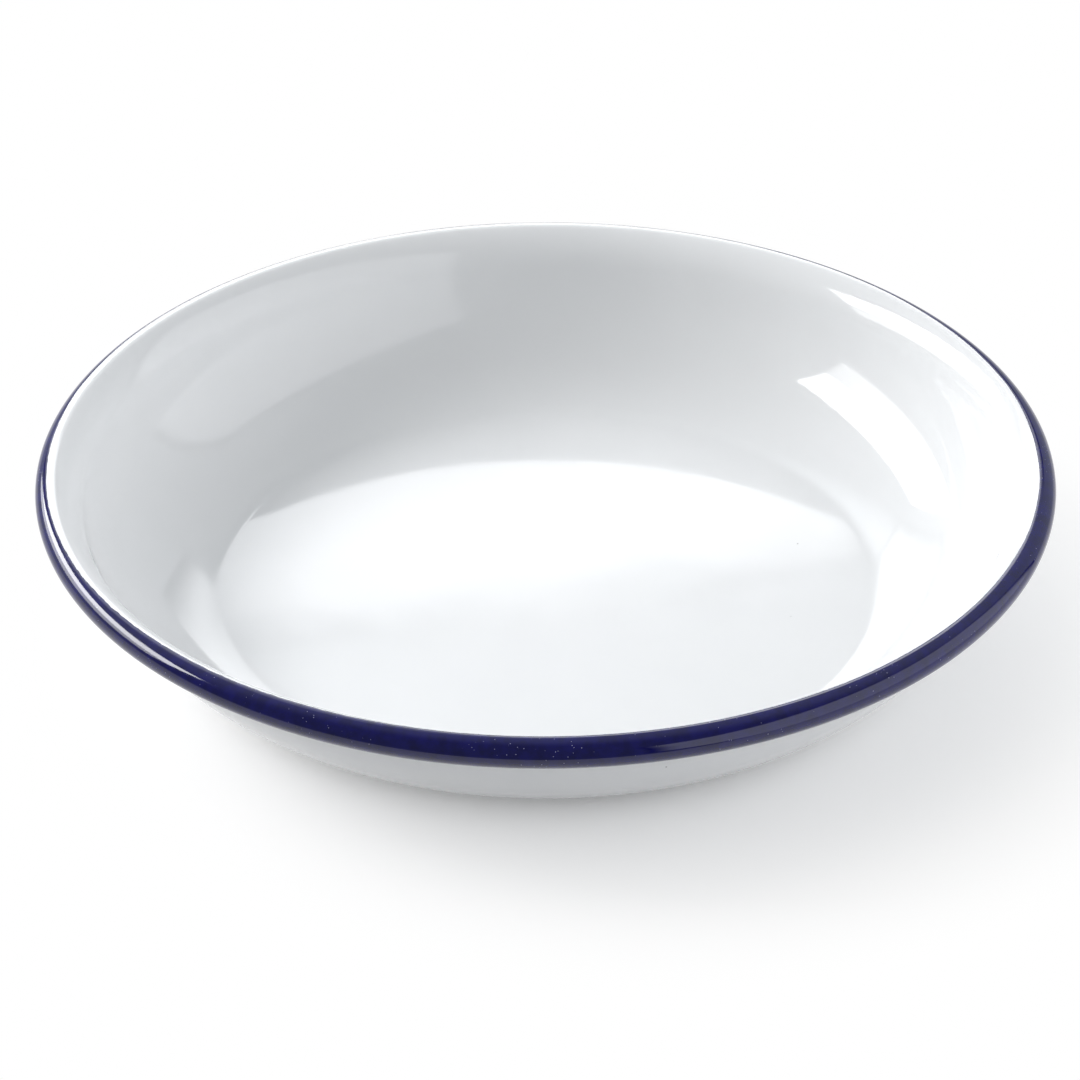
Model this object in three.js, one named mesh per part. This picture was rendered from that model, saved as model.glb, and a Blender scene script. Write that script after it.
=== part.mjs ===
import * as THREE from 'three';

// Enamelled steel soup plate: a pressed sheet with a rolled rim, coated with layers of fired glass.
// Millimetres and degrees, +Z up. The origin is the centre of the foot, on the table.

// Overall form, measured over the enamel
const rimDiameter = 220;
const plateHeight = 35;
const footDiameter = 144;
const beadDiameter = 5.8;

// Shape of the pressed sheet on its middle line: the corner around the foot, and the flare below the rim
const cornerRadius = 15;
const cornerTurn = 16;
const flareRadius = 12.4;
const flareEndSlope = 34;

// Slit left between the end of the rolled edge and the back of the flare
const curlMouth = 1;

// Sheet and coats
const steelThickness = 0.6;
const groundThickness = 0.12;
const coverThickness = 0.18;
const bondGap = 0.01;

// The blue begins this far inside the crest of the rim
const blueInsideCrest = 0.7;

// Facets
const roundSegments = 48;
const cornerSteps = 2;
const wallSteps = 5;
const flareSteps = 4;
const lipSteps = 1;
const blueLipSteps = 1;
const rollSteps = 8;

// Distances of the layers' faces from the sheet's middle line, the same on both sides
const steelFace = steelThickness / 2;
const groundNear = steelFace + bondGap;
const groundFar = groundNear + groundThickness;
const coverNear = groundFar + bondGap;
const coverFar = coverNear + coverThickness;

const beadRadius = beadDiameter / 2;
const curlRadius = beadRadius - coverFar;
const crestRadius = rimDiameter / 2 - beadRadius;

const radians = THREE.MathUtils.degToRad;
const flareEnd = radians(flareEndSlope);

// The roll turns past the crest until only the slit is left between its end and the back of the flare.
const centreStep = flareRadius - curlRadius;
const endReach = flareRadius - coverFar - curlMouth;
const endCosine = (endReach ** 2 - centreStep ** 2 - beadRadius ** 2) / (2 * centreStep * beadRadius);
const rollTurn = 2 * Math.PI - flareEnd - Math.acos(endCosine);

// A station is a point of the sheet's middle line, as radius and height, with the slope of the sheet there.
function station(point, slope) {
  return { point, slope };
}

// The direction across the sheet, towards the eating side
function across(slope) {
  return new THREE.Vector2(-Math.sin(slope), Math.cos(slope));
}

function along(slope) {
  return new THREE.Vector2(Math.cos(slope), Math.sin(slope));
}

// Point at a distance from the middle line, positive towards the eating side
function offset(from, distance) {
  return from.point.clone().addScaledVector(across(from.slope), distance);
}

// Stations along an arc that goes on from a station; a positive turn bends towards the eating side.
function arc(from, radius, endSlope, steps) {
  const side = Math.sign(endSlope - from.slope);
  const centre = offset(from, side * radius);
  const stations = [];
  for (let step = 1; step <= steps; step += 1) {
    const slope = THREE.MathUtils.lerp(from.slope, endSlope, step / steps);
    const point = centre.clone().addScaledVector(across(slope), -side * radius);
    stations.push(station(point, slope));
  }
  return stations;
}

// The wall is one arc: it goes on from the corner and runs into the flare without a kink.
function wallArc(cornerEnd, flareCentre) {
  const reach = cornerEnd.point.clone().sub(flareCentre);
  const inward = reach.dot(across(cornerEnd.slope));
  const radius = (reach.lengthSq() - flareRadius ** 2) / (2 * (flareRadius - inward));
  const toFlare = flareCentre.clone().sub(offset(cornerEnd, radius));
  return { radius, endSlope: Math.atan2(toFlare.x, -toFlare.y) };
}

// The sheet's middle line, from the axis to the rolled edge: the dish, the white lip and the blue roll
function sheetPath() {
  const rollCentre = new THREE.Vector2(crestRadius, plateHeight - beadRadius);
  const flareCentre = rollCentre.addScaledVector(across(flareEnd), -centreStep);
  const axis = station(new THREE.Vector2(0, coverFar), 0);
  const footEdge = station(new THREE.Vector2(footDiameter / 2, coverFar), 0);
  const corner = arc(footEdge, cornerRadius, radians(cornerTurn), cornerSteps);
  const wall = wallArc(corner.at(-1), flareCentre);
  const side = arc(corner.at(-1), wall.radius, wall.endSlope, wallSteps);
  const flare = arc(side.at(-1), flareRadius, flareEnd, flareSteps);
  const whiteLip = arc(flare.at(-1), curlRadius, Math.asin(blueInsideCrest / beadRadius), lipSteps);
  const blueLip = arc(whiteLip.at(-1), curlRadius, 0, blueLipSteps);
  const curl = arc(blueLip.at(-1), curlRadius, -rollTurn, rollSteps);
  return { dish: [axis, footEdge, ...corner, ...side, ...flare], whiteLip, blueRoll: [...blueLip, ...curl] };
}

// Solid of revolution between two distances from the middle line
function layer(name, stations, low, high, material) {
  const outline = stations.map((place) => offset(place, low));
  outline.push(...stations.map((place) => offset(place, high)).reverse());
  if (stations[0].point.x > 0) {
    outline.push(outline[0].clone());
  }
  const geometry = new THREE.LatheGeometry(outline, roundSegments);
  geometry.rotateX(Math.PI / 2);
  const mesh = new THREE.Mesh(geometry, material);
  mesh.name = name;
  return mesh;
}

function glass(color) {
  return new THREE.MeshStandardMaterial({ color, roughness: 0.12, metalness: 0 });
}

const steel = new THREE.MeshStandardMaterial({ color: 0x8c8f92, roughness: 0.4, metalness: 0.9 });

const { dish, whiteLip, blueRoll } = sheetPath();
const wholeSheet = [...dish, ...whiteLip, ...blueRoll];

// The blue starts a bond gap past the end of the white, so that the two coats butt without touching.
const whiteEnd = whiteLip.at(-1);
const blueStart = station(
  whiteEnd.point.clone().addScaledVector(along(whiteEnd.slope), bondGap),
  whiteEnd.slope,
);

const plate = new THREE.Group();
plate.add(layer('steel_shell', wholeSheet, -steelFace, steelFace, steel));
plate.add(layer('inner_ground_coat', wholeSheet, groundNear, groundFar, glass(0x2b2e3a)));
plate.add(layer('outer_ground_coat', dish, -groundFar, -groundNear, glass(0x2b2e3a)));
plate.add(layer('inner_white_enamel', [...dish, ...whiteLip], coverNear, coverFar, glass(0xf1f2f0)));
plate.add(layer('outer_white_enamel', dish, -coverFar, -coverNear, glass(0xf1f2f0)));
plate.add(layer('blue_rim_enamel', [blueStart, ...blueRoll], coverNear, coverFar, glass(0x1f1f5c)));

export default plate;
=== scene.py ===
"""Looks of the enamel soup plate: smooth pieces, fired glass materials, table, light and camera.

The profile is worked in millimetres and scaled to the frame's metres when a mesh is made.
"""

import math

import bpy
from mathutils import Matrix, Vector, noise


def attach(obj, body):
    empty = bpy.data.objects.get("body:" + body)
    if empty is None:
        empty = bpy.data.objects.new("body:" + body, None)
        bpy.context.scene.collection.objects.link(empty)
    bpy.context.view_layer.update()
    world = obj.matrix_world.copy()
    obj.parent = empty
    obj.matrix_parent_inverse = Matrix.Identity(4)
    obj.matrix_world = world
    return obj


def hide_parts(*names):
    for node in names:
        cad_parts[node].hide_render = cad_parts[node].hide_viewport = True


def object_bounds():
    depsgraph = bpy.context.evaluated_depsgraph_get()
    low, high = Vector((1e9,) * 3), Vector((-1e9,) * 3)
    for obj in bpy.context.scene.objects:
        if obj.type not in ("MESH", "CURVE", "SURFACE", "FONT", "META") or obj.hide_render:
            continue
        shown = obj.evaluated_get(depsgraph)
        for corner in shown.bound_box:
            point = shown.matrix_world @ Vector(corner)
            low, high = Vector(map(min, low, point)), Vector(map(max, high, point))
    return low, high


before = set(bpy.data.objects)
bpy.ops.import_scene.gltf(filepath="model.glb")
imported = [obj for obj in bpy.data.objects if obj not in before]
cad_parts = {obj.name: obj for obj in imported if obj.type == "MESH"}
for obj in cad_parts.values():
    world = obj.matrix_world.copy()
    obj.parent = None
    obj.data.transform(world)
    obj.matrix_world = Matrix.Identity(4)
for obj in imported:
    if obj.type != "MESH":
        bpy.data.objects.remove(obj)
cad_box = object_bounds()

MM = 0.001
TURN = 2 * math.pi

# Form of the plate, in millimetres, as in the solids. The outer sizes come from the frame.
RIM_RADIUS = round(cad_box[1].x / MM, 2)
PLATE_HEIGHT = round(cad_box[1].z / MM, 2)
FOOT_RADIUS = 72
BEAD_RADIUS = 2.9
CORNER_RADIUS = 15
CORNER_TURN = math.radians(16)
FLARE_RADIUS = 12.4
FLARE_END = math.radians(34)
CURL_MOUTH = 1

# Faces of the layers, as distances from the middle line of the sheet
STEEL_FACE = 0.30
GROUND_NEAR = 0.31
GROUND_FAR = 0.43
COVER_NEAR = 0.44
COVER_FAR = 0.62

# Round roll of the solids: radius of its middle line, radius of its crest, and step to the flare's centre
CURL_RADIUS = BEAD_RADIUS - COVER_FAR
CREST_RADIUS = RIM_RADIUS - BEAD_RADIUS
CENTRE_STEP = FLARE_RADIUS - CURL_RADIUS

# Radii of the bead over the enamel, and the slopes where they change: it is taller than a full round
BEAD_INNER = 2.2
BEAD_TOP = 3.7
BEAD_UNDER = 3.85
BEAD_TUCK = 2.55
BEAD_SHOULDER = math.radians(-45)
BEAD_OUTERMOST = math.radians(-90)
BEAD_LOWEST = math.radians(-150)

# Fineness of the meshes, and the angle from which an edge is shown sharp
SEGMENTS = 360
BLUE_SEGMENTS = 1080
FLOOR_RINGS = 18
CORNER_RINGS = 6
WALL_RINGS = 36
FLARE_RINGS = 14
LIP_RINGS = 6
ROLL_RINGS = 34
SHARP_ANGLE = math.radians(50)

# Edge of the blue, seen from above: its distance from the outer edge of the rim, and where it is widest
BLUE_WIDTH = 3.0
BLUE_SWAY = 1.28
BLUE_WIDEST = math.radians(-64)
BLUE_WAVE = 0.22
BLUE_WAVE_LENGTH = 17
BLUE_TEETH = 0.16
BLUE_TEETH_LENGTH = 1.7
RAGGED_SIDE = math.radians(-135)
RAGGED_LEAST = 0.2
WHITE_UNDER_BLUE = 0.45

# Lap of the blue over the white: gap under it, height of its face at the edge and further in, and its rings
LAP_GAP = 0.004
EDGE_RAISE = 0.010
BLUE_RAISE = 0.025
RAISE_LENGTH = 0.5
LAP_LENGTHS = (0, 0.08, 0.18, 0.32, RAISE_LENGTH)
LAP_STEP = 0.12

# Blue round the cut edge of the sheet: lengths past the edge, and distances from the middle line
CUT_EDGE_WRAP = (
    (0.02, COVER_NEAR), (0.02, -0.32), (-0.25, -0.32), (-0.25, -0.42),
    (0.06, -0.44), (0.17, -0.12), (0.20, 0.20), (0.12, 0.58),
)

# Unevenness of the fired surfaces: height and length
WHITE_WAVE = 0.02
WHITE_WAVE_LENGTH = 25
BEAD_WAVE = 0.025
BEAD_WAVE_LENGTH = 14

# Seeds that set the patterns of noise apart
BORDER_WAVE_SEED = 3
BORDER_TEETH_SEED = 7
INNER_WAVE_SEED = 11
OUTER_WAVE_SEED = 23
BEAD_WAVE_SEED = 31

# Colours of the materials
WHITE_SHADES = ((0.792, 0.799, 0.806), (0.815, 0.821, 0.827))
SPECK_COLOUR = (0.22, 0.20, 0.19)
BLUE_SHADES = ((0.0020, 0.0017, 0.060), (0.0040, 0.0034, 0.098))
PINHOLE_COLOUR = (0.36, 0.36, 0.56)
GROUND_SHADES = ((0.018, 0.020, 0.032), (0.030, 0.033, 0.050))
STEEL_SHADES = ((0.30, 0.30, 0.31), (0.16, 0.15, 0.15))

# Fired glass: heights of its orange peel in metres, least and most roughness, and noise in waves per metre
WHITE_PEEL = 0.000002
WHITE_ROUGHNESS = (0.05, 0.09)
BLUE_PEEL = 0.000004
BLUE_ROUGHNESS = (0.06, 0.11)
GROUND_PEEL = 0.000020
GROUND_ROUGHNESS = (0.15, 0.30)
FINE_PEEL_SCALE = 420
BROAD_PEEL_SCALE = 110
BROAD_TO_FINE = 4
GLOSS_SCALE = 60
GLASS_IOR = 1.5

# Steel: least and most roughness, height of its marks in metres, and noise in waves per metre
STEEL_ROUGHNESS = (0.35, 0.6)
STEEL_ROUGHNESS_SCALE = 400
STEEL_MARKS = 0.00002
STEEL_MARKS_SCALE = 900

# Values of the noise between which a colour, a roughness or a group of pinholes changes
WIDE_RANGE = (0.3, 0.7)
NARROW_RANGE = (0.35, 0.65)
GROUP_RANGE = (0.46, 0.58)

# Share of a speck's size that has its full colour
SPECK_CORE = 0.7

# Table, in metres: its edges, its colour, and distances and levels of the glow that lightens the shadow
TABLE_TOP = -0.0001
TABLE_FRONT = -0.16
TABLE_REACH = 3.0
TABLE_COLOUR = (0.84, 0.84, 0.84, 1)
LIFT_CENTRE = (0, 0, 0)
LIFT_DISTANCES = (0.074, 0.092)
LIFT_LEVELS = (0.10, 0.25)
SHADOW_CENTRE = (0.020, -0.008, 0)
SHADOW_FADE = (0.066, 0.133)
PLAIN_WHITE = (1, 1, 1, 1)

# Studio walls, in metres: their glow from front to back, and a brighter patch on them
STUDIO_RADIUS = 6.0
STUDIO_STEPS = 48
STUDIO_LEVELS = 24
STUDIO_COLOUR = (0.93, 0.97, 1, 1)
STUDIO_SPAN = (-1.5, 3)
STUDIO_GLOW = (0.25, 0.65)
PATCH_PLACE = (-1.25, 4.55, 3.70)
PATCH_FADE = (0.2, 1.5)
PATCH_GLOW = 1.7

# Strip lamps on the left, in metres, and their power in watts for each square metre
STRIP_FACING = (1, 0, 0)
STRIP_WIDTH = 1.36
STRIP_PLACE = (-1.0, 0.62, 0.77)
STRIP_HEIGHT = 0.36
STRIP_POWER = 40
LOW_STRIP_PLACE = (-1.0, 0.62, 0.47)
LOW_STRIP_HEIGHT = 0.24
LOW_STRIP_POWER = 14

# Soft panels, in metres: width and height, and lengths over which they fade at the sides and the ends
PANEL_COLOUR = (0.965, 0.98, 1, 1)
WINDOW_PLACE = (-0.24, 2.0, 0.948)
WINDOW_FACING = (0, -1, 0)
WINDOW_TILT = math.radians(8.5)
WINDOW_SIZE = (1.56, 0.82)
WINDOW_FADES = (0.5, 0.06)
WINDOW_GLOW = 3.3
WALL_TURN = math.radians(110)
WALL_DISTANCE = 1.5
WALL_MIDDLE = 0.6
WALL_SIZE = (3.2, 2.35)
WALL_FADES = (0.4, 0.3)
WALL_GLOW = 1.65

# Camera, fitted to the plate's outlines in the photo: place in metres, lens and sensor in millimetres
CAMERA_PLACE = (0, -0.596, 0.3919)
CAMERA_PITCH = math.radians(32.57)
CAMERA_YAW = math.radians(-0.12)
CAMERA_ROLL = math.radians(-0.245)
CAMERA_LENS = 106.67
CAMERA_SENSOR = 36
CAMERA_NEAR = 0.01


# Profile of the sheet

def across(slope):
    """Direction across the sheet, towards the eating side, as radius and height."""
    return Vector((-math.sin(slope), math.cos(slope)))


def along(slope):
    """Direction at a slope, as radius and height. On the sheet it leads towards the rolled edge."""
    return Vector((math.cos(slope), math.sin(slope)))


def offset(station, distance):
    """Point at a distance from the middle line at a station, which is a point with a slope."""
    point, slope = station
    return point + distance * across(slope)


def arc(start, radius, end_slope, steps):
    """Stations along an arc that goes on from a station."""
    side = math.copysign(1, end_slope - start[1])
    centre = offset(start, side * radius)
    stations = []
    for step in range(1, steps + 1):
        slope = start[1] + (end_slope - start[1]) * step / steps
        stations.append((centre - side * radius * across(slope), slope))
    return stations


ROLL_CENTRE = Vector((CREST_RADIUS, PLATE_HEIGHT - BEAD_RADIUS))
FLARE_CENTRE = ROLL_CENTRE - CENTRE_STEP * across(FLARE_END)


def roll_turn():
    """Slope past the crest at which the slit between the roll and the flare's back is left."""
    reach = FLARE_RADIUS - COVER_FAR - CURL_MOUTH
    cosine = (reach ** 2 - CENTRE_STEP ** 2 - BEAD_RADIUS ** 2) / (2 * CENTRE_STEP * BEAD_RADIUS)
    return TURN - FLARE_END - math.acos(cosine)


ROLL_END = -roll_turn()


def turned(radius, start, end):
    """Step along an arc of the bead from one slope to another, for a radius over the enamel."""
    return (radius - COVER_FAR) * (across(end) - across(start))


CREST = FLARE_CENTRE + FLARE_RADIUS * across(FLARE_END) + turned(BEAD_INNER, FLARE_END, 0)


def bead_side():
    """Radius of the bead's outer side, which takes the rim to its full size."""
    left = RIM_RADIUS - CREST.x - BEAD_TOP * math.sin(-BEAD_SHOULDER)
    return left / (1 - math.sin(-BEAD_SHOULDER))


BEAD_ARCS = (
    (BEAD_TOP, BEAD_SHOULDER),
    (bead_side(), BEAD_OUTERMOST),
    (BEAD_UNDER, BEAD_LOWEST),
    (BEAD_TUCK, ROLL_END),
)


def bead(slope):
    """Station on the roll, whose arcs go inwards and outwards from the crest."""
    if slope > 0:
        return CREST + turned(BEAD_INNER, 0, slope), slope
    point, reached = CREST.copy(), 0
    for radius, end in BEAD_ARCS:
        stop = max(slope, end)
        if stop < reached:
            point += turned(radius, reached, stop)
            reached = stop
    return point, slope


def wall_arc(corner_end):
    """Radius and end slope of the wall, which runs from the corner into the flare without a kink."""
    reach = corner_end[0] - FLARE_CENTRE
    inward = reach.dot(across(corner_end[1]))
    radius = (reach.length_squared - FLARE_RADIUS ** 2) / (2 * (FLARE_RADIUS - inward))
    to_flare = FLARE_CENTRE - offset(corner_end, radius)
    return radius, math.atan2(to_flare.x, -to_flare.y)


def floor_stations():
    """Stations of the flat floor, from its first ring to the edge of the foot."""
    steps = range(1, FLOOR_RINGS + 1)
    return [(Vector((FOOT_RADIUS * step / FLOOR_RINGS, COVER_FAR)), 0) for step in steps]


def rising_stations():
    """Stations from the edge of the foot to the end of the flare."""
    corner = arc(floor_stations()[-1], CORNER_RADIUS, CORNER_TURN, CORNER_RINGS)
    radius, top_slope = wall_arc(corner[-1])
    wall = arc(corner[-1], radius, top_slope, WALL_RINGS)
    flare = arc(wall[-1], FLARE_RADIUS, FLARE_END, FLARE_RINGS)
    return corner + wall + flare


def roll_stations():
    """Stations of the roll, from the flare to its cut edge."""
    steps = range(1, ROLL_RINGS + 1)
    return [bead(FLARE_END + (ROLL_END - FLARE_END) * step / ROLL_RINGS) for step in steps]


# Meshes of revolution

def azimuths(segments):
    """Angles of the segments around the axis."""
    return [TURN * place / segments for place in range(segments)]


def level_rings(stations, distance):
    """Rings at one distance from the middle line, each with one point of the profile for every segment."""
    return [[offset(station, distance)] * SEGMENTS for station in stations]


def around(point, angle):
    """Point of the profile, turned about the axis."""
    return Vector((point.x * math.cos(angle), point.x * math.sin(angle), point.y))


def ripple(place, length, seed):
    """Smooth noise between about -1 and 1, with bumps of about one length."""
    return noise.noise(place / length + Vector((seed, seed, seed)))


def wavy(rings, stations, seed):
    """The same rings of a white coat, moved along the surface's normal by gentle noise."""
    moved = []
    for ring, (_, slope) in zip(rings, stations):
        lift = across(slope) * WHITE_WAVE
        moved.append([
            point + lift * ripple(around(point, angle), WHITE_WAVE_LENGTH, seed)
            for point, angle in zip(ring, azimuths(len(ring)))
        ])
    return moved


def bridge(first, second, segments):
    """Faces between two rings, given by the index of their first corners."""
    faces = []
    for place in range(segments):
        following = (place + 1) % segments
        faces.append((first + place, first + following, second + following, second + place))
    return faces


def fan(ring, pole, segments, pole_first):
    """Faces between a ring and a point on the axis."""
    faces = []
    for place in range(segments):
        following = (place + 1) % segments
        if pole_first:
            faces.append((pole, ring + following, ring + place))
        else:
            faces.append((ring + place, ring + following, pole))
    return faces


def ring_faces(count, segments):
    """Faces between each ring and the next."""
    faces = []
    for index in range(count - 1):
        faces += bridge(index * segments, (index + 1) * segments, segments)
    return faces


def ring_corners(rings):
    """Corners of all rings, in metres."""
    corners = []
    for ring in rings:
        corners += [around(point, angle) * MM for point, angle in zip(ring, azimuths(len(ring)))]
    return corners


def mesh_object(name, corners, faces):
    """Object in the scene with a mesh of these corners and faces."""
    mesh = bpy.data.meshes.new(name)
    mesh.from_pydata(corners, [], faces)
    piece = bpy.data.objects.new(name, mesh)
    bpy.context.scene.collection.objects.link(piece)
    return piece


def smooth_object(name, corners, faces):
    """Object with smooth shading, apart from its sharp edges."""
    piece = mesh_object(name, corners, faces)
    piece.data.validate()
    piece.data.shade_smooth()
    piece.data.set_sharp_from_angle(angle=SHARP_ANGLE)
    return piece


def disc_solid(name, low, high):
    """Solid from the low rings out to the edge and back along the high rings, closed on the axis."""
    segments = len(low[0])
    rings = low + high[::-1]
    corners = ring_corners(rings)
    faces = ring_faces(len(rings), segments)
    low_pole = len(corners)
    corners += [Vector((0, 0, low[0][0].y)) * MM, Vector((0, 0, high[0][0].y)) * MM]
    faces += fan(0, low_pole, segments, True)
    faces += fan((len(rings) - 1) * segments, low_pole + 1, segments, False)
    return smooth_object(name, corners, faces)


def hoop_solid(name, rings):
    """Solid whose rings close on themselves, away from the axis."""
    segments = len(rings[0])
    faces = ring_faces(len(rings), segments)
    faces += bridge((len(rings) - 1) * segments, 0, segments)
    return smooth_object(name, ring_corners(rings), faces)


# Border between the white and the blue

def turned_from(angle, centre):
    """Angle between two azimuths, from 0 to half a turn."""
    return abs((angle - centre + math.pi) % TURN - math.pi)


def blue_edge(angle):
    """Slope of the bead at which the blue begins: the rim was dipped by hand, and sits a little askew."""
    place = around(Vector((CREST_RADIUS, 0)), angle)
    width = BLUE_WIDTH + BLUE_SWAY * math.cos(angle - BLUE_WIDEST)
    width += BLUE_WAVE * ripple(place, BLUE_WAVE_LENGTH, BORDER_WAVE_SEED)
    ragged = max(0, 1 - turned_from(angle, RAGGED_SIDE)) + RAGGED_LEAST
    width += BLUE_TEETH * ragged * ripple(place, BLUE_TEETH_LENGTH, BORDER_TEETH_SEED)
    inside = CREST.x - RIM_RADIUS + width
    return math.asin(inside / (BEAD_INNER if inside > 0 else BEAD_TOP))


def bead_slopes(starts, share):
    """Slopes at a share of the way from each start to the roll's end."""
    return [start + (ROLL_END - start) * share for start in starts]


def bead_ring(slopes, distance):
    """Ring round the bead at a slope for each segment and one distance from the middle line."""
    return [offset(bead(slope), distance) for slope in slopes]


# Pieces

def plain_layer(name, stations, low, high):
    """Layer of even thickness that reaches the axis."""
    return disc_solid(name, level_rings(stations, low), level_rings(stations, high))


def make_inner_white(dish):
    """Cover coat of the eating side. On the bead it runs a little way under the blue."""
    under = WHITE_UNDER_BLUE / BEAD_RADIUS
    ends = [blue_edge(angle) - under for angle in azimuths(SEGMENTS)]
    low = level_rings(dish, COVER_NEAR)
    high = wavy(level_rings(dish, COVER_FAR), dish, INNER_WAVE_SEED)
    for step in range(1, LIP_RINGS + 1):
        slopes = [FLARE_END + (end - FLARE_END) * step / LIP_RINGS for end in ends]
        low.append(bead_ring(slopes, COVER_NEAR))
        high.append(bead_ring(slopes, COVER_FAR))
    return disc_solid("enamel_inner_white", low, high)


def make_outer_white(floor, rising):
    """Cover coat of the underside, even where the foot stands."""
    standing = level_rings(floor, -COVER_FAR)
    wave = wavy(level_rings(rising, -COVER_FAR), rising, OUTER_WAVE_SEED)
    return disc_solid("enamel_outer_white", standing + wave, level_rings(floor + rising, -COVER_NEAR))


def swollen(length):
    """Height of the blue's face over the white at a length from its edge."""
    share = min(1, length / RAISE_LENGTH)
    return EDGE_RAISE + (BLUE_RAISE - EDGE_RAISE) * math.sin(share * math.pi / 2)


def cut_edge_rings():
    """Rings of the blue that wrap the cut edge of the sheet, from the near face round to the far face."""
    end = bead(ROLL_END)
    ahead = along(ROLL_END)
    return [[offset(end, distance) + ahead * length] * BLUE_SEGMENTS for length, distance in CUT_EDGE_WRAP]


def bead_wave(ring):
    """A ring of the bead with the slight unevenness of glass that ran while it was hot."""
    waved = []
    for point, angle in zip(ring, azimuths(len(ring))):
        lift = (point - ROLL_CENTRE).normalized()
        height = BEAD_WAVE * (1 + ripple(around(point, angle), BEAD_WAVE_LENGTH, BEAD_WAVE_SEED)) / 2
        waved.append(point + lift * height)
    return waved


def make_blue_rim():
    """Blue edge enamel: laps over the white at its ragged border and covers the roll to its cut edge."""
    starts = [blue_edge(angle) for angle in azimuths(BLUE_SEGMENTS)]
    near, far = [], []
    for length in LAP_LENGTHS:
        places = [start - length / BEAD_RADIUS for start in starts]
        near.append(bead_ring(places, COVER_FAR + LAP_GAP))
        far.append(bead_ring(places, COVER_FAR + swollen(length)))
    past_lap = [start - (RAISE_LENGTH + LAP_STEP) / BEAD_RADIUS for start in starts]
    for step in range(ROLL_RINGS + 1):
        places = bead_slopes(past_lap, step / ROLL_RINGS)
        near.append(bead_ring(places, COVER_NEAR))
        far.append(bead_ring(places, COVER_FAR + BLUE_RAISE))
    far = [bead_wave(ring) for ring in far]
    return hoop_solid("enamel_blue_rim", near + cut_edge_rings() + far[::-1])


# Nodes that the materials share

def object_place(tree):
    """Place in the object's own coordinates, in metres."""
    return tree.nodes.new("ShaderNodeTexCoord").outputs["Object"]


def noise_node(tree, scale, detail):
    """Noise in the object's own coordinates; the scale is in waves per metre."""
    texture = tree.nodes.new("ShaderNodeTexNoise")
    texture.inputs["Scale"].default_value = scale
    texture.inputs["Detail"].default_value = detail
    tree.links.new(object_place(tree), texture.inputs["Vector"])
    return texture.outputs["Fac"]


def spread(tree, value, low, high, start, end):
    """Map a value between low and high smoothly to a span from start to end."""
    span = tree.nodes.new("ShaderNodeMapRange")
    span.interpolation_type = "SMOOTHSTEP"
    span.inputs["From Min"].default_value = low
    span.inputs["From Max"].default_value = high
    span.inputs["To Min"].default_value = start
    span.inputs["To Max"].default_value = end
    tree.links.new(value, span.inputs["Value"])
    return span.outputs["Result"]


def combine(tree, operation, first, second):
    """Result of one operation on two values."""
    maths = tree.nodes.new("ShaderNodeMath")
    maths.operation = operation
    tree.links.new(first, maths.inputs[0])
    tree.links.new(second, maths.inputs[1])
    return maths.outputs["Value"]


def distance_from(tree, centre):
    """Distance from a point in the object's own coordinates."""
    distance = tree.nodes.new("ShaderNodeVectorMath")
    distance.operation = "DISTANCE"
    distance.inputs[1].default_value = centre
    tree.links.new(object_place(tree), distance.inputs[0])
    return distance.outputs["Value"]


def blend(tree, factor, first, second):
    """Colour between two others; each is a plain colour or another node's output."""
    mix = tree.nodes.new("ShaderNodeMix")
    mix.data_type = "RGBA"
    tree.links.new(factor, mix.inputs["Factor"])
    for colour, socket in ((first, mix.inputs[6]), (second, mix.inputs[7])):
        if isinstance(colour, tuple):
            socket.default_value = (*colour, 1)
        else:
            tree.links.new(colour, socket)
    return mix.outputs[2]


def mottled(tree, shades, scale, detail, noise_range):
    """Colour that drifts between two shades with the noise."""
    cloud = spread(tree, noise_node(tree, scale, detail), *noise_range, 0, 1)
    return blend(tree, cloud, *shades)


def specks(tree, scale, size):
    """Round specks: 1 within a size of the Voronoi points, 0 elsewhere."""
    cells = tree.nodes.new("ShaderNodeTexVoronoi")
    cells.inputs["Scale"].default_value = scale
    tree.links.new(object_place(tree), cells.inputs["Vector"])
    return spread(tree, cells.outputs["Distance"], size * SPECK_CORE, size, 1, 0)


def add_bump(tree, height, distance, normal=None):
    """Normal of a surface with bumps, on top of another node's normal where one is given."""
    bump = tree.nodes.new("ShaderNodeBump")
    bump.inputs["Distance"].default_value = distance
    tree.links.new(height, bump.inputs["Height"])
    if normal is not None:
        tree.links.new(normal, bump.inputs["Normal"])
    return bump.outputs["Normal"]


# Materials of the plate

def new_material(name):
    """Material with its node tree and its shader."""
    material = bpy.data.materials.new(name)
    material.use_nodes = True
    tree = material.node_tree
    return material, tree, tree.nodes["Principled BSDF"]


def glass_surface(tree, shader, peel, roughness):
    """Orange peel of fired glass and its slightly uneven gloss."""
    fine = add_bump(tree, noise_node(tree, FINE_PEEL_SCALE, detail=1), peel)
    broad = add_bump(tree, noise_node(tree, BROAD_PEEL_SCALE, detail=1), peel * BROAD_TO_FINE, fine)
    tree.links.new(broad, shader.inputs["Normal"])
    gloss = spread(tree, noise_node(tree, GLOSS_SCALE, detail=2), *WIDE_RANGE, *roughness)
    tree.links.new(gloss, shader.inputs["Roughness"])
    shader.inputs["IOR"].default_value = GLASS_IOR


def white_enamel():
    """White cover coat: faint cloudiness, and a few dark specks from the firing."""
    material, tree, shader = new_material("white_enamel")
    body = mottled(tree, WHITE_SHADES, scale=22, detail=3, noise_range=WIDE_RANGE)
    dots = specks(tree, scale=60, size=0.012)
    tree.links.new(blend(tree, dots, body, SPECK_COLOUR), shader.inputs["Base Color"])
    glass_surface(tree, shader, WHITE_PEEL, WHITE_ROUGHNESS)
    return material


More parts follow.
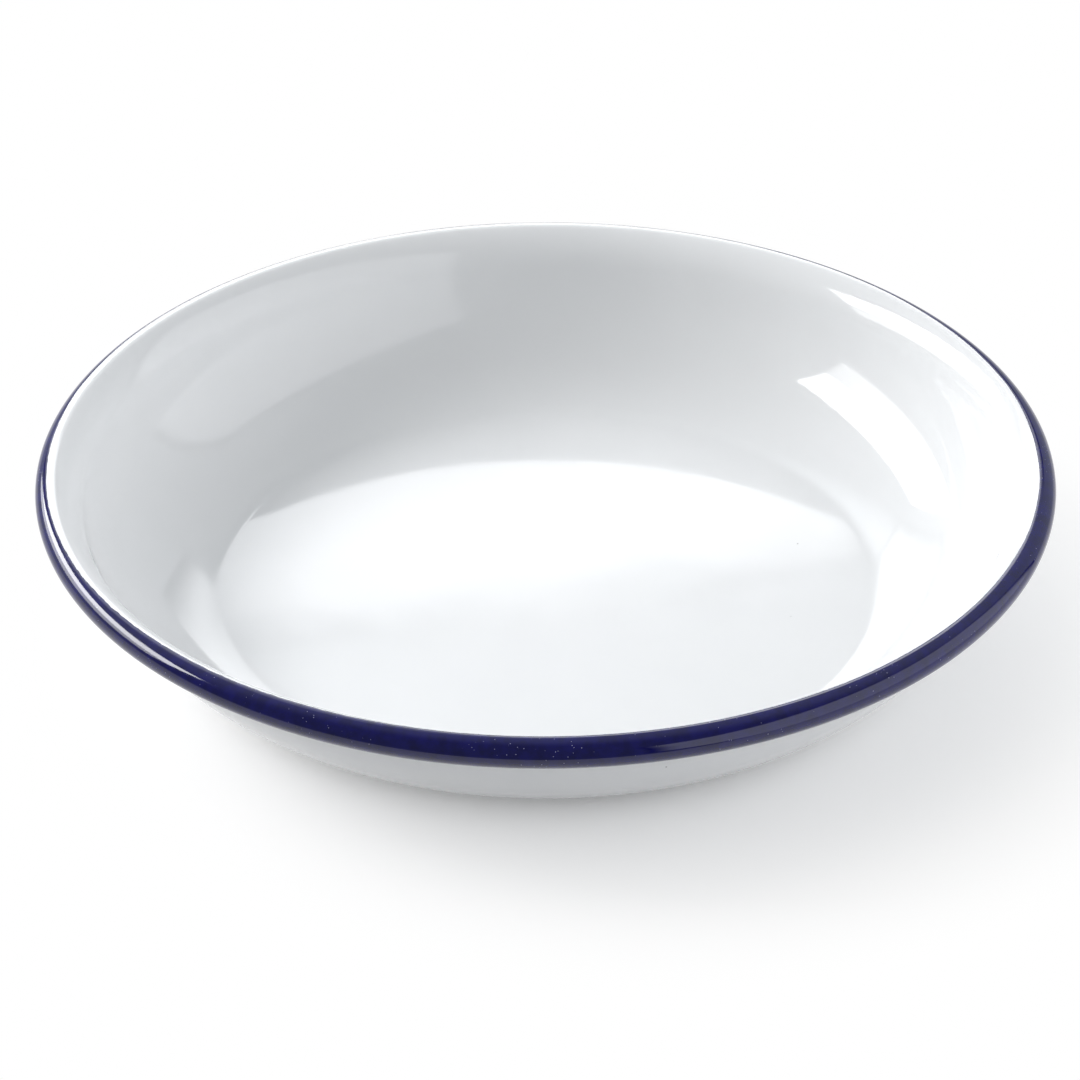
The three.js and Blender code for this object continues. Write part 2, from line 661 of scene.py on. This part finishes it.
def blue_enamel():
    """Blue edge enamel: mottled, with white pinholes in loose groups."""
    material, tree, shader = new_material("blue_enamel")
    body = mottled(tree, BLUE_SHADES, scale=420, detail=3, noise_range=WIDE_RANGE)
    groups = spread(tree, noise_node(tree, scale=110, detail=1), *GROUP_RANGE, 0, 1)
    pinholes = combine(tree, "MULTIPLY", specks(tree, scale=1000, size=0.10), groups)
    tree.links.new(blend(tree, pinholes, body, PINHOLE_COLOUR), shader.inputs["Base Color"])
    glass_surface(tree, shader, BLUE_PEEL, BLUE_ROUGHNESS)
    return material


def ground_enamel():
    """Blue-black ground coat, under the white and the blue."""
    material, tree, shader = new_material("ground_enamel")
    body = mottled(tree, GROUND_SHADES, scale=200, detail=4, noise_range=NARROW_RANGE)
    tree.links.new(body, shader.inputs["Base Color"])
    glass_surface(tree, shader, GROUND_PEEL, GROUND_ROUGHNESS)
    return material


def sheet_steel():
    """Pressed steel with the scale left by the firing."""
    material, tree, shader = new_material("sheet_steel")
    body = mottled(tree, STEEL_SHADES, scale=150, detail=5, noise_range=NARROW_RANGE)
    tree.links.new(body, shader.inputs["Base Color"])
    shader.inputs["Metallic"].default_value = 1
    rough = spread(tree, noise_node(tree, STEEL_ROUGHNESS_SCALE, detail=3), *WIDE_RANGE, *STEEL_ROUGHNESS)
    tree.links.new(rough, shader.inputs["Roughness"])
    marks = add_bump(tree, noise_node(tree, STEEL_MARKS_SCALE, detail=3), STEEL_MARKS)
    tree.links.new(marks, shader.inputs["Normal"])
    return material


# Plate

def place_piece(piece, node, material):
    """Put a piece on the part in place of a node of the solids."""
    piece.data.materials.append(material)
    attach(piece, "root")
    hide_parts(node)


def build_plate():
    """All six pieces, from the steel outwards."""
    floor, rising = floor_stations(), rising_stations()
    dish = floor + rising
    sheet = dish + roll_stations()
    white, blue, ground, steel = white_enamel(), blue_enamel(), ground_enamel(), sheet_steel()
    shell = plain_layer("pressed_steel_shell", sheet, -STEEL_FACE, STEEL_FACE)
    place_piece(shell, "steel_shell", steel)
    inner_ground = plain_layer("ground_coat_inner", sheet, GROUND_NEAR, GROUND_FAR)
    place_piece(inner_ground, "inner_ground_coat", ground)
    outer_ground = plain_layer("ground_coat_outer", dish, -GROUND_FAR, -GROUND_NEAR)
    place_piece(outer_ground, "outer_ground_coat", ground)
    place_piece(make_inner_white(dish), "inner_white_enamel", white)
    place_piece(make_outer_white(floor, rising), "outer_white_enamel", white)
    place_piece(make_blue_rim(), "blue_rim_enamel", blue)


# Materials of the stage

def stage_material(name):
    """Material with an empty node tree."""
    material = bpy.data.materials.new(name)
    material.use_nodes = True
    material.node_tree.nodes.clear()
    return material, material.node_tree


def show(tree, shader):
    """Use a shader for the surface."""
    out = tree.nodes.new("ShaderNodeOutputMaterial")
    tree.links.new(shader, out.inputs["Surface"])


def glow(tree, colour, strength=None):
    """Glow at a strength that another node gives, or else at a strength of 1."""
    light = tree.nodes.new("ShaderNodeEmission")
    light.inputs["Color"].default_value = colour
    light.inputs["Strength"].default_value = 1
    if strength is not None:
        tree.links.new(strength, light.inputs["Strength"])
    return light.outputs[0]


def mixed(tree, factor, first, second):
    """Shader between two others, at a factor that another node gives."""
    mix = tree.nodes.new("ShaderNodeMixShader")
    for place, output in enumerate((factor, first, second)):
        tree.links.new(output, mix.inputs[place])
    return mix.outputs[0]


def seen_directly(tree):
    """1 for camera, glossy and transmission rays, and 0 for the rest."""
    path = tree.nodes.new("ShaderNodeLightPath")
    shiny = combine(tree, "MAXIMUM", path.outputs["Is Glossy Ray"], path.outputs["Is Transmission Ray"])
    return combine(tree, "MAXIMUM", path.outputs["Is Camera Ray"], shiny)


def lifted(tree, paper):
    """The table's paper with a glow that lightens the shadow, and does so less close to the foot."""
    level = spread(tree, distance_from(tree, LIFT_CENTRE), *LIFT_DISTANCES, *LIFT_LEVELS)
    both = tree.nodes.new("ShaderNodeAddShader")
    tree.links.new(paper, both.inputs[0])
    tree.links.new(glow(tree, PLAIN_WHITE, level), both.inputs[1])
    return both.outputs[0]


def table_material():
    """Pale table that keeps the shadow near the plate and fades to plain white further out."""
    material, tree = stage_material("table")
    diffuse = tree.nodes.new("ShaderNodeBsdfDiffuse")
    diffuse.inputs["Color"].default_value = TABLE_COLOUR
    paper = diffuse.outputs[0]
    fade = spread(tree, distance_from(tree, SHADOW_CENTRE), *SHADOW_FADE, 0, 1)
    shown = mixed(tree, fade, lifted(tree, paper), glow(tree, PLAIN_WHITE))
    show(tree, mixed(tree, seen_directly(tree), paper, shown))
    return material


def studio_material():
    """Dim glow, darker behind the camera, with a brighter patch high up at the back left."""
    material, tree = stage_material("studio")
    parts = tree.nodes.new("ShaderNodeSeparateXYZ")
    tree.links.new(object_place(tree), parts.inputs[0])
    level = spread(tree, parts.outputs["Y"], *STUDIO_SPAN, *STUDIO_GLOW)
    patch = spread(tree, distance_from(tree, PATCH_PLACE), *PATCH_FADE, PATCH_GLOW, 0)
    show(tree, glow(tree, STUDIO_COLOUR, combine(tree, "ADD", level, patch)))
    return material


def faded(tree, place, size, fade, level):
    """A level that fades to 0 around the edge of a size that has its middle at 0."""
    away = tree.nodes.new("ShaderNodeMath")
    away.operation = "ABSOLUTE"
    tree.links.new(place, away.inputs[0])
    return spread(tree, away.outputs["Value"], (size - fade) / 2, (size + fade) / 2, level, 0)


def panel_material(name, size, fades, strength):
    """Glow of a panel that fades out towards its four edges."""
    material, tree = stage_material(name)
    parts = tree.nodes.new("ShaderNodeSeparateXYZ")
    tree.links.new(object_place(tree), parts.inputs[0])
    sideways = faded(tree, parts.outputs["X"], size[0], fades[0], strength)
    upright = faded(tree, parts.outputs["Y"], size[1], fades[1], 1)
    show(tree, glow(tree, PANEL_COLOUR, combine(tree, "MULTIPLY", sideways, upright)))
    return material


# Stage: table, studio walls, lamps and camera

def build_table():
    """Table from a little before the plate to far behind it."""
    low, high = -TABLE_REACH, TABLE_REACH
    corners = [
        (low, TABLE_FRONT, TABLE_TOP), (high, TABLE_FRONT, TABLE_TOP),
        (high, high, TABLE_TOP), (low, high, TABLE_TOP),
    ]
    table = mesh_object("table", corners, [(0, 1, 2, 3)])
    table.data.materials.append(table_material())


def build_studio():
    """Dim walls around the table. The camera doesn't see them, but the white beyond."""
    corners = []
    for level in range(STUDIO_LEVELS + 1):
        tilt = math.pi * (level / STUDIO_LEVELS - 0.5)
        corners += [around(STUDIO_RADIUS * along(tilt), turn) for turn in azimuths(STUDIO_STEPS)]
    faces = [face[::-1] for face in ring_faces(STUDIO_LEVELS + 1, STUDIO_STEPS)]
    studio = mesh_object("studio", corners, faces)
    studio.data.materials.append(studio_material())
    studio.visible_camera = False


def build_world():
    """White behind everything that the camera sees."""
    world = bpy.data.worlds.new("backdrop")
    world.use_nodes = True
    tree = world.node_tree
    background = tree.nodes["Background"]
    background.inputs["Color"].default_value = PLAIN_WHITE
    tree.links.new(seen_directly(tree), background.inputs["Strength"])
    bpy.context.scene.world = world


def panel_place(centre, facing, tilt=0):
    """Place of a panel that faces a level direction. A tilt turns it clockwise, seen from the plate."""
    back = -Vector(facing).normalized()
    up = Matrix.Rotation(-tilt, 3, facing) @ Vector((0, 0, 1))
    turn = Matrix((up.cross(back), up, back)).transposed().to_4x4()
    return Matrix.Translation(centre) @ turn


def build_strip(name, centre, height, power):
    """Strip lamp with clear edges."""
    light = bpy.data.lights.new(name, "AREA")
    light.shape = "RECTANGLE"
    light.size = STRIP_WIDTH
    light.size_y = height
    light.energy = power * STRIP_WIDTH * height
    lamp = bpy.data.objects.new(name, light)
    bpy.context.scene.collection.objects.link(lamp)
    lamp.matrix_world = panel_place(centre, STRIP_FACING)
    lamp.visible_camera = False


def build_soft_panel(name, place, size, fades, strength):
    """Glowing panel whose light fades out around its edges."""
    side, end = (size[0] + fades[0]) / 2, (size[1] + fades[1]) / 2
    corners = [(-side, -end, 0), (side, -end, 0), (side, end, 0), (-side, end, 0)]
    panel = mesh_object(name, corners, [(0, 1, 2, 3)])
    panel.data.materials.append(panel_material(name, size, fades, strength))
    panel.matrix_world = place
    panel.visible_camera = False


def build_lamps():
    """Two strips on the left, a tilted window at the back and a pale wall on the right."""
    build_strip("strip_left", STRIP_PLACE, STRIP_HEIGHT, STRIP_POWER)
    build_strip("strip_left_low", LOW_STRIP_PLACE, LOW_STRIP_HEIGHT, LOW_STRIP_POWER)
    window = panel_place(WINDOW_PLACE, WINDOW_FACING, WINDOW_TILT)
    build_soft_panel("window_back", window, WINDOW_SIZE, WINDOW_FADES, WINDOW_GLOW)
    outward = Vector((math.sin(WALL_TURN), math.cos(WALL_TURN), 0))
    wall = panel_place(WALL_DISTANCE * outward + Vector((0, 0, WALL_MIDDLE)), -outward)
    build_soft_panel("wall_right", wall, WALL_SIZE, WALL_FADES, WALL_GLOW)


def camera_turn():
    """Turn of the camera, from its pitch below the horizon, its yaw and its roll."""
    level_ahead = Vector((math.sin(CAMERA_YAW), math.cos(CAMERA_YAW), 0))
    ahead = level_ahead * math.cos(CAMERA_PITCH) - Vector((0, 0, math.sin(CAMERA_PITCH)))
    level_right = Vector((math.cos(CAMERA_YAW), -math.sin(CAMERA_YAW), 0))
    level_up = level_right.cross(ahead)
    right = level_right * math.cos(CAMERA_ROLL) + level_up * math.sin(CAMERA_ROLL)
    up = level_up * math.cos(CAMERA_ROLL) - level_right * math.sin(CAMERA_ROLL)
    return Matrix((right, up, -ahead)).transposed().to_4x4()


def build_camera():
    """Camera at the photograph's viewing angle."""
    lens = bpy.data.cameras.new("camera")
    lens.sensor_width = CAMERA_SENSOR
    lens.lens = CAMERA_LENS
    lens.clip_start = CAMERA_NEAR
    camera = bpy.data.objects.new("camera", lens)
    bpy.context.scene.collection.objects.link(camera)
    camera.matrix_world = Matrix.Translation(CAMERA_PLACE) @ camera_turn()
    bpy.context.scene.camera = camera


build_plate()
build_table()
build_studio()
build_world()
build_lamps()
build_camera()
bpy.context.scene.view_settings.view_transform = "Standard"
